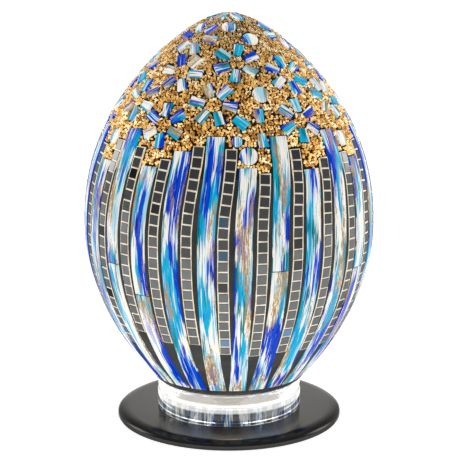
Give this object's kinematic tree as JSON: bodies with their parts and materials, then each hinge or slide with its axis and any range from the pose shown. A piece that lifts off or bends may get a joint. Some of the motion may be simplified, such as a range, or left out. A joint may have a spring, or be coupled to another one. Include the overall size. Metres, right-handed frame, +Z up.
{
  "type": "mosaic glass table lamp",
  "caption": "Egg-shaped mosaic glass table lamp with glass strips, mirror columns, bead and petal cap, clear lit collar and a polished dark round base.",
  "frame": {"origin": "middle of the felt's rest face, on the lamp's vertical axis", "axes": "+Z up, -Y towards the front, +X to the right; the cord inlet is at +Y"},
  "size_m": [0.2, 0.2, 0.2827],
  "materials": {
    "felt": "matt felt",
    "black_nickel": "mirror polished",
    "rubber": "matt",
    "steel": "zinc plated",
    "clear_acrylic": "polished clear",
    "grey_plastic": "satin",
    "white_ceramic": "unglazed",
    "brass": "bright",
    "nickel": "bright nickel plate",
    "black_plastic": "gloss",
    "bulb_glass": "clear",
    "filament": "satin phosphor coating",
    "clear_glass": "clear",
    "grout": "matt cement grout",
    "gold_beads": "small bright beads set in grout",
    "cream_adhesive": "translucent, lit from inside",
    "mirror_tile": "silvered, smoked",
    "glass_turquoise": "streaky hand-painted, lit from inside",
    "glass_blue": "streaky hand-painted, lit from inside",
    "glass_white": "streaky hand-painted, lit from inside",
    "glass_teal": "streaky hand-painted, lit from inside"
  },
  "bodies": {
    "base": {"felt_pad": "felt", "base_plate": "black_nickel", "cord_grommet": "rubber", "lock_nut": "steel", "lock_washer": "steel", "threaded_tube": "steel", "seat_nut": "steel", "clear_collar": "clear_acrylic", "holder_cap": "grey_plastic", "holder_shell": "grey_plastic", "holder_core": "white_ceramic", "socket_thread": "brass", "centre_contact": "brass", "terminal_screws": "steel"},
    "bulb": {"bulb_cap": "nickel", "bulb_insulator": "black_plastic", "bulb_contact": "nickel", "bulb_glass": "bulb_glass", "bulb_stem": "bulb_glass", "bulb_filaments": "filament"},
    "shade": {"shade_glass": "clear_glass", "grout_bed": "grout", "rim_band": "grout", "bead_cap": "gold_beads", "mirror_backing": "cream_adhesive", "mirror_columns": "mirror_tile", "petals": "glass_blue", "round_discs": "glass_turquoise", "glass_strip_01": "glass_turquoise", "glass_strip_02": "glass_blue", "glass_strip_03": "glass_white", "glass_strip_04": "glass_teal", "glass_strip_05": "glass_turquoise", "glass_strip_06": "glass_blue", "glass_strip_07": "glass_white", "glass_strip_08": "glass_teal", "glass_strip_09": "glass_turquoise", "glass_strip_10": "glass_blue", "glass_strip_11": "glass_white", "glass_strip_12": "glass_teal", "glass_strip_13": "glass_turquoise", "glass_strip_14": "glass_blue", "glass_strip_15": "glass_white", "glass_strip_16": "glass_teal", "glass_strip_17": "glass_turquoise", "glass_strip_18": "glass_blue", "glass_strip_19": "glass_white", "glass_strip_20": "glass_teal", "glass_strip_21": "glass_turquoise", "glass_strip_22": "glass_blue", "glass_strip_23": "glass_white", "glass_strip_24": "glass_teal", "glass_strip_25": "glass_turquoise", "glass_strip_26": "glass_blue"}
  },
  "joints": [
    {"name": "shade_lift", "type": "slide", "parent": "base", "child": "shade", "axis": [0, 0, 1], "range_m": [0, 0.12]},
    {"name": "bulb_unscrew", "type": "slide", "parent": "base", "child": "bulb", "axis": [0, 0, 1], "range_m": [0, 0.025]}
  ]
}
